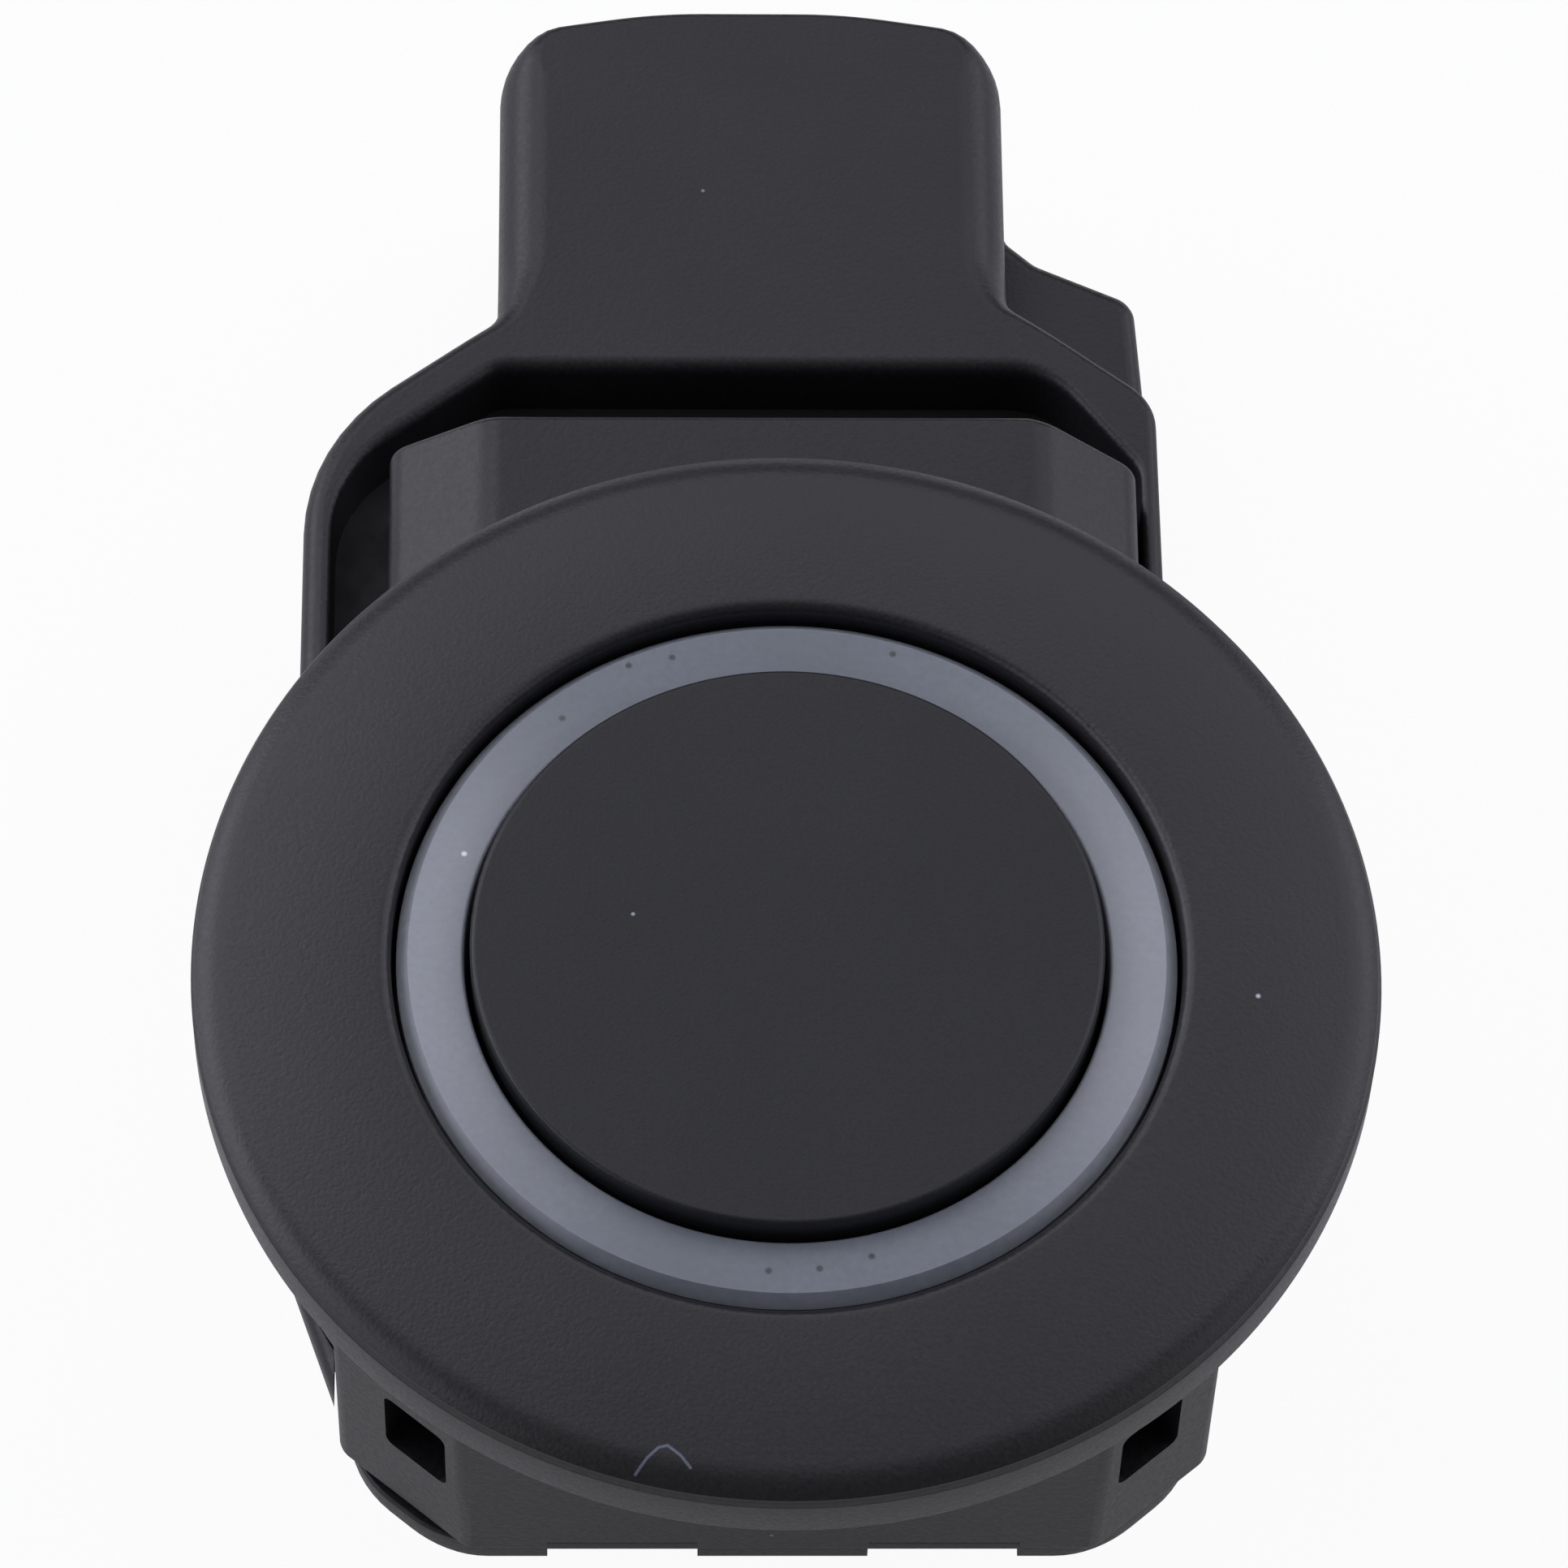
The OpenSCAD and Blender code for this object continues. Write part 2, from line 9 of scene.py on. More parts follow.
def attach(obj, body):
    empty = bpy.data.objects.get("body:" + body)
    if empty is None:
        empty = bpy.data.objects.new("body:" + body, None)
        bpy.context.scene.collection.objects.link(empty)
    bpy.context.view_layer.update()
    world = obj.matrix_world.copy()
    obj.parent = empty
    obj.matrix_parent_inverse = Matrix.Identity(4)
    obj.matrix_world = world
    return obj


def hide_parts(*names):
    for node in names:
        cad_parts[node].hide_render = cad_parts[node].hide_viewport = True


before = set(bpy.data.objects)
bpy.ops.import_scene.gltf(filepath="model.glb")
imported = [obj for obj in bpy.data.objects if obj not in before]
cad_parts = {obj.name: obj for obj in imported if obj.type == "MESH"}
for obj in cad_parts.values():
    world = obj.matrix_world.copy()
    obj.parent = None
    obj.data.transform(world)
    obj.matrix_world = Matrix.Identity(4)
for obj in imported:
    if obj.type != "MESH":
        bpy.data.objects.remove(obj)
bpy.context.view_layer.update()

# Sizes are in millimetres, in the part's own frame: Z is the sounding axis, and +Y points to the connector
MM = 0.001
STEP = 0.02  # keeps faces of joined solids off one plane
CLEAR = 1.0  # how far a cutter reaches past the face that it cuts
FINE = 1e-6  # in metres, closer points are merged
TURNED_SIDES, DRUM_SIDES, ARC_STEPS, SMALL_STEPS = 240, 192, 8, 5
ROUND_STEPS, EDGE_SPLIT = 6, 0.5  # steps across a rounded edge, and the longest stretch along it
SMOOTH_ANGLE, FLAT_WEIGHT = 38, 90  # shading: sharp edges in degrees, and how much the large faces count
HAIRLINE = 0.1  # rounding of edges that hardly show

# Sounding cup, and the silicone ring with its bevelled lip
FACE_R, FACE_Z, FACE_BACK_Z, FACE_EDGE_R = 7.75, 2.45, 1.55, 0.15
CUP_BORE_R, CUP_RIM_R, CUP_RIM_Z, CUP_Z = 6.6, 9.25, -4.5, -6.0
RING_IN_R, RING_OUT_R, RING_Z, RING_EDGE_R = 7.9, 9.3, 1.85, 0.1
RING_LIP_IN_R, RING_LIP_R, RING_LIP_BEVEL, RING_LIP_FOOT, RING_LIP_H = 9.27, 9.56, 0.32, 0.7, 0.95

# Bezel: the flange falls away in a dome and then rolls off, with tilts in degrees
OPENING_R, OPENING_ROUND, FLANGE_IN_Z, NECK_TOP_Z = 9.68, 0.3, 2.1, -0.8
FLANGE_R, FLANGE_CORNER, CORNER_DROP, FLANGE_REAR_ROUND = 14.58, 0.08, 1.5, 0.08
DOME_TILT, ROLL_START, ROLL_TILT, DOME_STEP, BEZEL_LEAN = 7.0, 13.65, 46.0, 0.1, 0.7
COLLAR_IN_R, COLLAR_R = 10.45, 11.3

# Front housing: block behind the bezel, neck, arm, corner windows and notches
NECK_R, NECK_BORE_R, NECK_LOW_Z = 10.35, 9.3, -7.0
ROOF_Z, ROOF_IN_Z, JOINT_Z, WALL = -2.9, -3.9, -9.0, 1.1
BLOCK_LEFT, BLOCK_RIGHT, BLOCK_END, BLOCK_ROUND = -11.07, 10.63, 11.0, 0.6
BLOCK_ROOF_Z, BLOCK_TOP_ROUND, BLOCK_GAP, RECESS_R = -2.35, 0.15, 0.14, 11.4
CHAMFER_LEFT, CHAMFER_RIGHT, CHAMFER_TILT = -7.95, 7.81, 40.0
SKIRT_ROUND, SKIRT_END_ROUND, SKIRT_END_POWER = 0.3, 0.1, 8
ARM_LEFT, ARM_RIGHT, ARM_START, ARM_END = -10.15, 9.45, 2.0, 18.75
ARM_ROOF_LEFT, ARM_ROOF_RIGHT, ARM_FOOT_Z, ARM_SOFT_Z = -7.6, 7.0, -4.6, -6.6
ARM_ROUND, ARM_EDGE_ROUND, ARM_ROOF_ROUND, ARM_SKEW_X, ARM_SKEW = 0.25, 0.9, 1.5, 6.5, 0.18
ARM_ROOM_START, ARM_ROOM_DROP = 1.0, 0.4
WINDOW_START, WINDOW_END, WINDOW_DEPTH, WINDOW_LOW, WINDOW_HIGH = 0.5, 2.45, 2.6, -5.9, -3.4
SLOT_ROUND, SLOT_STEPS = 0.25, 3
NOTCH_X, NOTCH_W, NOTCH_H, NOTCH_SPARE = 4.0, 3.75, 0.5, 0.3

# Rear housing: tray with its rim and moat, connector, seat plate and lug
RIM_Z, REAR_Z, REAR_ROUND, HEEL_Z = -6.2, -15.5, 0.5, -7.1
RIM_Y, MOUTH_Y, SOCKET_Y, SOCKET_ROUND, SOCKET_STEPS = 23.2, 34.0, 23.7, 0.8, 5
PLUG_X, PLUG_W, PLUG_WALL = -0.55, 13.7, 1.3
PLUG_ROUND, MOUTH_ROUND, RIM_ROUND, RIM_LEFT_ROUND, BLEND_L = 1.35, 0.25, 0.3, 0.55, 3.0
MOAT_ROUND, MOAT_TOP_ROUND, BLOCK_ROOM = 0.22, 0.42, 0.1
PLATE_T, PLATE_ROUND = 0.9, 3.0
LUG_Z, LUG_ROUND, LUG_LOW_ROUND = -10.0, 0.45, 0.4
LATCH_W, LATCH_NEAR, LATCH_FAR, LATCH_DEPTH = 4.0, 2.4, 4.8, 2.0
POCKET_X, POCKET_LOW, POCKET_END, LEDGE_Z, LEDGE_W, FLOOR_Z = 8.3, -5.7, 17.75, -12.2, 1.2, -14.4

# Connector blades, square with tapered tips
PIN_W, PIN_PITCH, PIN_START, PIN_TIP, BOARD_Z, PIN_GAP = 0.64, 2.54, 16.35, 29.4, -11.2, 0.05
PIN_TAPER_L, PIN_TAPER, PIN_ROUND, PIN_STEPS = 0.7, 0.45, 0.06, 2

# Outlines seen from the front, anticlockwise. Corners are x, y and mostly a radius
PLUG_LEFT, PLUG_RIGHT = PLUG_X - PLUG_W / 2, PLUG_X + PLUG_W / 2
REAR_PLAN = [(8.2, -7.6, 2.4), (10.3, -5.0, 2.4), (10.15, 21.4, 1.6), (PLUG_RIGHT, 24.45, 1.0),
             (PLUG_RIGHT, MOUTH_Y - 0.7, 1.9), (PLUG_X + 2.6, MOUTH_Y, 16), (PLUG_X - 2.6, MOUTH_Y, 16),
             (PLUG_LEFT, MOUTH_Y - 0.7, 1.9), (PLUG_LEFT, 24.0, 1.0), (-12.45, 20.15, 5.6),
             (-12.45, -4.2, 2.5), (-11.05, -8.3, 0.5), (-9.2, -8.3, 0.5), (-7.2, -7.6, 0.8)]
CHAMFER_RUN = math.tan(math.radians(CHAMFER_TILT))
LEFT_Y = BLOCK_END - (CHAMFER_LEFT - BLOCK_LEFT) * CHAMFER_RUN
RIGHT_Y = BLOCK_END - (BLOCK_RIGHT - CHAMFER_RIGHT) * CHAMFER_RUN
BLOCK_PLAN = [(CHAMFER_RIGHT, -BLOCK_END), (BLOCK_RIGHT, -RIGHT_Y), (BLOCK_RIGHT, RIGHT_Y),
              (CHAMFER_RIGHT, BLOCK_END), (CHAMFER_LEFT, BLOCK_END), (BLOCK_LEFT, LEFT_Y),
              (BLOCK_LEFT, -LEFT_Y), (CHAMFER_LEFT, -BLOCK_END)]
PLATE_PLAN = [(x, y, PLATE_ROUND) for x, y in (
    (7.9, -10.75), (10.4, -8.6), (10.4, 8.6), (7.9, 10.75),
    (-8.45, 10.75), (-10.88, 8.7), (-10.88, -8.7), (-8.45, -10.75))]
HEEL_ROOM = [(-12.7, -0.1), (-13.5, -9.5), (-6.9, -9.5), (-7.2, -7.6), (-9.8, -6.7)]
MOAT_PLAN = [(7.6, -7.0, 1.8), (9.65, -4.7, 1.8), (9.65, 19.2, 1.0), (7.3, 22.3, 2.2), (-7.4, 22.3, 1.0),
             (-11.65, 19.0, 3.5), (-11.65, -5.9, 0.8), (-10.3, -8.0, 0.3), (-9.2, -8.0, 0.3),
             (-7.0, -7.0, 0.8)]
LUG_PLAN = [(4.0, 22.6, 0.2), (10.2, 22.6, 0.2), (10.1, 24.5, 2.0), (9.95, 27.1, 0.8),
            (7.3, 28.35, 1.0), (6.5, 29.1, 0.6), (PLUG_RIGHT, 30.0, 0.3), (4.0, 30.0, 0.2)]

# Camera at the photo's viewing angle: its axes, its place, and its lens and sensor in millimetres
CAMERA_RIGHT, CAMERA_UP = (0.99980, -0.00865, 0.01827), (-0.00173, 0.86385, 0.50374)
CAMERA_BACK, CAMERA_PLACE = (-0.02014, -0.50367, 0.86366), (-4.115, -97.178, 176.699)
LENS, SENSOR_W, CLIP_START = 187.94, 36.0, 0.01

# Softboxes: bearing and height in degrees, width and height in metres, and radiance
LAMP_DISTANCE, LAMP_AIM, LAMP_COLOUR = 0.6, (0, 0.005, -0.004), (0.88, 0.89, 1.0)
LAMPS = [("back_left_softbox", 66, 23, 0.62, 0.36, 2.6), ("left_softbox", 112, 30, 0.36, 0.36, 1.3),
         ("high_left_softbox", 46, 57, 0.36, 0.26, 1.9), ("back_softbox", 0, 44, 0.60, 0.26, 1.25),
         ("high_right_softbox", 302, 55, 0.36, 0.26, 1.5), ("back_right_softbox", 296, 23, 0.50, 0.36, 1.8),
         ("right_softbox", 255, 30, 0.36, 0.30, 0.9), ("top_softbox", 0, 86, 0.50, 0.40, 0.35)]
ROOM_COLOUR, ROOM_LIGHT = (0.95, 0.95, 1, 1), 0.15
FLOOR_SIZE, FLOOR_GREY, FLOOR_WHITE, FLOOR_IN_GLOSS = 3, "#e7e7e7", 0.94, 0.2

# Finishes: depth of the grain, the part of its noise that shows, where the two colours lie, a mark's core
GRAIN_DEPTH, GRAIN_LOW, GRAIN_HIGH, DARK_AT, LIGHT_AT, MARK_CORE = 0.02, 0.3, 0.7, 0.1, 0.45, 0.5
FAR = 1.0  # in metres, a gap wider than any on the part
# Silicone: shine along its rings and their turn, and how much and how deep light scatters in it
RING_SHINE, RING_TURN, SCATTER, SCATTER_DEPTH, SCATTER_TINT = 0.95, 0.25, 0.6, 0.4, (1.0, 1.0, 1.1)

# Dust, spots and one fine hair where the photo shows them: width, colour and places
HAIR = (0.045, "#5f6472", [(-3.70, -13.86), (-3.43, -13.53), (-3.15, -13.28), (-2.94, -13.24),
                           (-2.65, -13.47), (-2.40, -13.78)])
BEZEL_DUST = (0.09, "#c9ccd6", [(11.46, -1.28, 2.0)])
FACE_DUST = (0.06, "#9da1ab", [(-3.77, 0.76, FACE_Z)])
RING_DUST = (0.09, "#e6e9f0", [(-7.92, 2.79, RING_Z), (5.79, -5.33, RING_Z)])
RING_SPOTS = (0.11, "#23252a", [(-3.88, 8.20, RING_Z), (-2.80, 8.44, RING_Z), (-5.53, 6.67, RING_Z),
                                (2.71, 8.55, RING_Z), (-0.52, -8.68, RING_Z), (0.70, -8.62, RING_Z),
                                (1.95, -8.29, RING_Z)])
HOUSING_DUST = (0.06, "#7b7f8a", [(-1.88, 28.03, RIM_Z), (-0.30, -BLOCK_END, -8.08)])


def lift(point):
    """Millimetres to metres."""
    return tuple(c * MM for c in point)


def arc(centre, radius, start, end, steps=ARC_STEPS):
    """Points on an arc, with angles in degrees."""
    turns = [math.radians(start + (end - start) * i / steps) for i in range(steps + 1)]
    return [(centre[0] + radius * math.cos(t), centre[1] + radius * math.sin(t)) for t in turns]


def take(piece):
    """Make a piece the only one selected."""
    bpy.ops.object.select_all(action="DESELECT")
    piece.select_set(True)
    bpy.context.view_layer.objects.active = piece


def pick(piece, kind, test):
    """In edit mode, select the edges or faces that pass the test."""
    bpy.ops.mesh.select_mode(type=kind)
    bpy.ops.mesh.select_all(action="DESELECT")
    mesh = bmesh.from_edit_mesh(piece.data)
    for item in mesh.edges if kind == "EDGE" else mesh.faces:
        if test([v.co / MM for v in item.verts]):
            item.select_set(True)
    bmesh.update_edit_mesh(piece.data)


def runs_along(axis):
    """Test for the edges of a block that run along an axis, 0 for X to 2 for Z."""
    return lambda ends: abs(ends[0][axis] - ends[1][axis]) > STEP


def round_edges(piece, width, steps, test):
    """Bevel the edges that pass the test."""
    take(piece)
    bpy.ops.object.mode_set(mode="EDIT")
    pick(piece, "EDGE", test)
    bpy.ops.mesh.bevel(offset=width * MM, segments=steps, affect="EDGES", clamp_overlap=True)
    bpy.ops.object.mode_set(mode="OBJECT")


def turned(name, profile, poles):
    """Piece turned about the sounding axis: a circle is pulled along (radius, height) points.
    With poles its two ends close on the axis, and without it the profile closes on itself."""
    path = profile if poles else profile + profile[:1]
    bpy.ops.object.select_all(action="DESELECT")
    bpy.ops.mesh.primitive_circle_add(vertices=TURNED_SIDES, radius=path[0][0] * MM, location=(0, 0, 0))
    piece = bpy.context.object
    piece.name = name
    bpy.ops.object.mode_set(mode="EDIT")
    bpy.ops.mesh.select_all(action="SELECT")
    bpy.ops.transform.translate(value=(0, 0, path[0][1] * MM))
    if poles:
        bpy.ops.mesh.edge_face_add()
        bpy.ops.mesh.poke()
        pick(piece, "EDGE", lambda ends: all(v.xy.length > path[0][0] / 2 for v in ends))
    for (r0, z0), (r1, z1) in zip(path, path[1:]):
        bpy.ops.mesh.extrude_edges_move(TRANSFORM_OT_translate={"value": (0, 0, (z1 - z0) * MM)})
        bpy.ops.transform.resize(value=(r1 / r0, r1 / r0, 1), center_override=(0, 0, 0))
    if poles:
        bpy.ops.mesh.edge_face_add()
        bpy.ops.mesh.poke()
    bpy.ops.mesh.select_all(action="SELECT")
    bpy.ops.mesh.remove_doubles(threshold=FINE)
    bpy.ops.mesh.normals_make_consistent(inside=False)
    bpy.ops.object.mode_set(mode="OBJECT")
    return piece


def pulled(name, outline, low, high):
    """Prism: an outline is drawn point by point in X and Y, filled, and pulled up from low to high."""
    bpy.ops.object.select_all(action="DESELECT")
    bpy.ops.mesh.primitive_plane_add(size=MM, location=(0, 0, 0))
    piece = bpy.context.object
    piece.name = name
    bpy.ops.object.mode_set(mode="EDIT")
    bpy.ops.mesh.select_mode(type="VERT")
    bpy.ops.mesh.select_all(action="SELECT")
    bpy.ops.mesh.merge(type="CENTER")
    bpy.ops.transform.translate(value=lift((*outline[0], low)))
    for (x0, y0), (x1, y1) in zip(outline, outline[1:]):
        bpy.ops.mesh.extrude_vertices_move(TRANSFORM_OT_translate={"value": lift((x1 - x0, y1 - y0, 0))})
    bpy.ops.mesh.select_all(action="SELECT")
    bpy.ops.mesh.edge_face_add()
    bpy.ops.mesh.extrude_region_move(TRANSFORM_OT_translate={"value": (0, 0, (high - low) * MM)})
    bpy.ops.mesh.select_all(action="SELECT")
    bpy.ops.mesh.normals_make_consistent(inside=False)
    bpy.ops.object.mode_set(mode="OBJECT")
    return piece


def block(name, low, high):
    """Box between two corners, with its place in its mesh."""
    bpy.ops.object.select_all(action="DESELECT")
    bpy.ops.mesh.primitive_cube_add(size=1, location=(0, 0, 0))
    piece = bpy.context.object
    piece.name = name
    bpy.ops.object.mode_set(mode="EDIT")
    bpy.ops.mesh.select_all(action="SELECT")
    bpy.ops.transform.resize(value=lift(b - a for a, b in zip(low, high)), center_override=(0, 0, 0))
    bpy.ops.transform.translate(value=lift((a + b) / 2 for a, b in zip(low, high)))
    bpy.ops.object.mode_set(mode="OBJECT")
    return piece


def drum(name, radius, low, high):
    """Cylinder on the sounding axis, with its place in its mesh."""
    bpy.ops.object.select_all(action="DESELECT")
    bpy.ops.mesh.primitive_cylinder_add(vertices=DRUM_SIDES, radius=radius * MM, depth=(high - low) * MM,
                                        location=(0, 0, 0))
    piece = bpy.context.object
    piece.name = name
    bpy.ops.object.mode_set(mode="EDIT")
    bpy.ops.mesh.select_all(action="SELECT")
    bpy.ops.transform.translate(value=(0, 0, (low + high) / 2 * MM))
    bpy.ops.object.mode_set(mode="OBJECT")
    return piece


def combine(piece, tool, operation):
    """Join two pieces, or cut one from the other; the tool is used up."""
    take(piece)
    bpy.ops.object.modifier_add(type="BOOLEAN")
    step = piece.modifiers[-1]
    step.object, step.operation, step.solver = tool, operation, "MANIFOLD"
    bpy.ops.object.modifier_apply(modifier=step.name)
    used = tool.data
    bpy.data.objects.remove(tool)
    bpy.data.meshes.remove(used)


def smooth(piece):
    """Shade by angle, and let the large faces set the normals."""
    take(piece)
    bpy.ops.object.shade_smooth_by_angle(angle=math.radians(SMOOTH_ANGLE))
    bpy.ops.object.modifier_add(type="WEIGHTED_NORMAL")
    step = piece.modifiers[-1]
    step.keep_sharp, step.weight = True, FLAT_WEIGHT
    bpy.ops.object.modifier_apply(modifier=step.name)


def rounded(corners, steps=ARC_STEPS):
    """Closed outline through corners given as x, y and radius, each one turned into an arc."""
    points = []
    for i, (x, y, radius) in enumerate(corners):
        here = Vector((x, y))
        u = (Vector(corners[i - 1][:2]) - here).normalized()
        v = (Vector(corners[(i + 1) % len(corners)][:2]) - here).normalized()
        half = math.acos(u.dot(v)) / 2
        centre = here + (u + v).normalized() * radius / math.sin(half)
        start = here + u * radius / math.tan(half) - centre
        end = here + v * radius / math.tan(half) - centre
        first = math.degrees(math.atan2(start.y, start.x))
        sweep = (math.degrees(math.atan2(end.y, end.x)) - first + 540) % 360 - 180
        points += arc(centre, radius, first, first + sweep, steps)
    return points


def refined(points):
    """Outline with its long edges split, so that a rounding can change along them."""
    fine = []
    for i, point in enumerate(points):
        start, end = Vector(point), Vector(points[(i + 1) % len(points)])
        count = max(1, round((end - start).length / EDGE_SPLIT))
        fine += [tuple(start.lerp(end, k / count)) for k in range(count)]
    return fine


def inward(points):
    """At each point of a closed outline, the way that moves both its edges inwards by one."""
    ways = []
    for i, point in enumerate(points):
        here = Vector(point)
        u = (here - Vector(points[i - 1])).normalized()
        v = (Vector(points[(i + 1) % len(points)]) - here).normalized()
        nu, nv = Vector((-u.y, u.x)), Vector((-v.y, v.x))
        ways.append((nu + nv) / (1 + nu.dot(nv)))
    return ways


def edge_rings(outline, height, radius_at, side, up):
    """Rings of a rounded edge, from the wall to the flat at a height. The radius may change along the edge.
    Side is 1 for a solid's edge and -1 for a cutter's flared lip, up is 1 for an upper edge, else -1."""
    places = [(x, y, way, radius_at(way, y)) for (x, y), way in zip(outline, inward(outline))]
    rings = []
    for k in range(ROUND_STEPS + 1):
        turn = math.radians(90 * k / ROUND_STEPS)
        across, down = side * (1 - math.cos(turn)), up * (1 - math.sin(turn))
        rings.append([(x + way.x * r * across, y + way.y * r * across, height - r * down)
                      for x, y, way, r in places])
    return rings


def skinned(name, rings):
    """Closed solid over rings of points, from the lowest to the highest."""
    data = bpy.data.meshes.new(name)
    piece = bpy.data.objects.new(name, data)
    bpy.context.collection.objects.link(piece)
    mesh = bmesh.new()
    loops = [[mesh.verts.new(lift(point)) for point in ring] for ring in rings]
    mesh.faces.new(reversed(loops[0]))
    mesh.faces.new(loops[-1])
    for low, high in zip(loops, loops[1:]):
        for i in range(len(low)):
            mesh.faces.new((low[i - 1], low[i], high[i], high[i - 1]))
    mesh.to_mesh(data)
    mesh.free()
    return piece


def soft_prism(name, outline, low, high, low_radius, high_radius):
    """Prism on an outline with its lower and upper edges rounded."""
    lower = edge_rings(outline, low, low_radius, 1, -1)[::-1]
    return skinned(name, lower + edge_rings(outline, high, high_radius, 1, 1))


def even(radius):
    """Rounding that is the same all along an edge."""
    return lambda way, y: radius


def skirt_round(way, y):
    """Radius of the lower edge of the block and of the seat plate: small at their lower end, else soft."""
    return SKIRT_ROUND + (SKIRT_END_ROUND - SKIRT_ROUND) * max(way.y, 0) ** SKIRT_END_POWER


def block_outline(grow):
    """Block behind the bezel, seen from the front, with chamfered corners, grown by a margin."""
    corners = zip(BLOCK_PLAN, inward(BLOCK_PLAN))
    return rounded([(x - way.x * grow, y - way.y * grow, BLOCK_ROUND) for (x, y), way in corners])


def make_camera():
    """Camera where the photo was taken from."""
    data = bpy.data.cameras.new("camera")
    data.lens, data.sensor_width, data.clip_start = LENS, SENSOR_W, CLIP_START
    camera = bpy.data.objects.new("camera", data)
    turn = Matrix((CAMERA_RIGHT, CAMERA_UP, CAMERA_BACK)).transposed().to_4x4()
    camera.matrix_world = Matrix.Translation(lift(CAMERA_PLACE)) @ turn
    bpy.context.collection.objects.link(camera)
    bpy.context.scene.camera = camera


def make_lamp(name, azimuth, elevation, width, height, radiance):
    """Softbox that faces the sensor from a bearing in degrees, anticlockwise from the connector's way."""
    turn, rise = math.radians(azimuth), math.radians(elevation)
    data = bpy.data.lights.new(name, "AREA")
    data.shape, data.size, data.size_y = "RECTANGLE", width, height
    data.energy = math.pi * width * height * radiance
    data.color = LAMP_COLOUR
    lamp = bpy.data.objects.new(name, data)
    away = Vector((-math.cos(rise) * math.sin(turn), math.cos(rise) * math.cos(turn), math.sin(rise)))
    lamp.location = Vector(LAMP_AIM) + away * LAMP_DISTANCE
    lamp.rotation_euler = away.to_track_quat("Z", "Y").to_euler()
    bpy.context.collection.objects.link(lamp)


def linear(code):
    """sRGB hex to linear colour."""
    parts = [int(code[i:i + 2], 16) / 255 for i in (1, 3, 5)]
    return tuple(c / 12.92 if c <= 0.04045 else ((c + 0.055) / 1.055) ** 2.4 for c in parts) + (1.0,)


def add(tree, kind, inputs=None, **settings):
    """Add a node with its settings, values and links."""
    made = tree.nodes.new(kind)
    for name, value in settings.items():
        setattr(made, name, value)
    for socket, value in (inputs or {}).items():
        if isinstance(value, bpy.types.NodeSocket):
            tree.links.new(value, made.inputs[socket])
        else:
            made.inputs[socket].default_value = value
    return made


def start_material(name):
    """Empty node tree with a shader, an output and Object coordinates."""
    material = bpy.data.materials.new(name)
    material.use_nodes = True
    tree = material.node_tree
    tree.nodes.clear()
    shader = add(tree, "ShaderNodeBsdfPrincipled")
    add(tree, "ShaderNodeOutputMaterial", {"Surface": shader.outputs["BSDF"]})
    return material, tree, shader, add(tree, "ShaderNodeTexCoord").outputs["Object"]


def per_mm(size):
    """Noise scale for a feature of that many millimetres, on coordinates in metres."""
    return 1 / (size * MM)


def surface(name, dark, light, patch, grain, rough, bump, ior=1.5, metallic=0.0, specular=0.5):
    """Finish whose colour drifts over patches, with a grain in its height and gloss. Sizes in millimetres.
    The finest grains are drawn as coarse as they need to show."""
    material, tree, shader, place = start_material(name)
    drift = add(tree, "ShaderNodeTexNoise", {"Vector": place, "Scale": per_mm(patch), "Detail": 3.0})
    fine = add(tree, "ShaderNodeTexNoise", {"Vector": place, "Scale": per_mm(grain), "Detail": 2.0})
    blend = add(tree, "ShaderNodeMath", {0: drift.outputs["Fac"], 1: fine.outputs["Fac"]},
                operation="MULTIPLY")
    ramp = add(tree, "ShaderNodeValToRGB", {"Fac": blend.outputs[0]})
    for stop, position, code in zip(ramp.color_ramp.elements, (DARK_AT, LIGHT_AT), (dark, light)):
        stop.position, stop.color = position, linear(code)
    gloss = add(tree, "ShaderNodeMapRange", {"Value": fine.outputs["Fac"], 1: GRAIN_LOW, 2: GRAIN_HIGH,
                                             3: rough[0], 4: rough[1]})
    relief = add(tree, "ShaderNodeBump", {"Height": fine.outputs["Fac"], "Strength": bump,
                                          "Distance": GRAIN_DEPTH * MM})
    tree.links.new(ramp.outputs["Color"], shader.inputs["Base Color"])
    tree.links.new(gloss.outputs["Result"], shader.inputs["Roughness"])
    tree.links.new(relief.outputs["Normal"], shader.inputs["Normal"])
    shader.inputs["IOR"].default_value = ior
    shader.inputs["Metallic"].default_value = metallic
    shader.inputs["Specular IOR Level"].default_value = specular
    return material


def shine_in_rings(material):
    """Give a turned mould's faint rings, which stretch the shine, and let light scatter in the rubber."""
    tree = material.node_tree
    rubber = tree.nodes["Principled BSDF"]
    rings = add(tree, "ShaderNodeTangent", direction_type="RADIAL", axis="Z")
    tree.links.new(rings.outputs["Tangent"], rubber.inputs["Tangent"])
    rubber.inputs["Anisotropic"].default_value = RING_SHINE
    rubber.inputs["Anisotropic Rotation"].default_value = RING_TURN
    rubber.inputs["Subsurface Weight"].default_value = SCATTER
    rubber.inputs["Subsurface Scale"].default_value = SCATTER_DEPTH * MM
    rubber.inputs["Subsurface Radius"].default_value = SCATTER_TINT


def tinted(material, gap, width, code):
    """Mix a mark's colour into a finish where the gap to the mark, in metres, is below a width."""
    tree = material.node_tree
    base = tree.nodes["Principled BSDF"].inputs["Base Color"]
    mask = add(tree, "ShaderNodeMapRange", {"Value": gap, 1: MARK_CORE * width * MM, 2: width * MM,
                                            3: 1.0, 4: 0.0})
    mixed = add(tree, "ShaderNodeMix", {0: mask.outputs["Result"], 6: base.links[0].from_socket,
                                        7: linear(code)}, data_type="RGBA")
    tree.links.new(mixed.outputs[2], base)


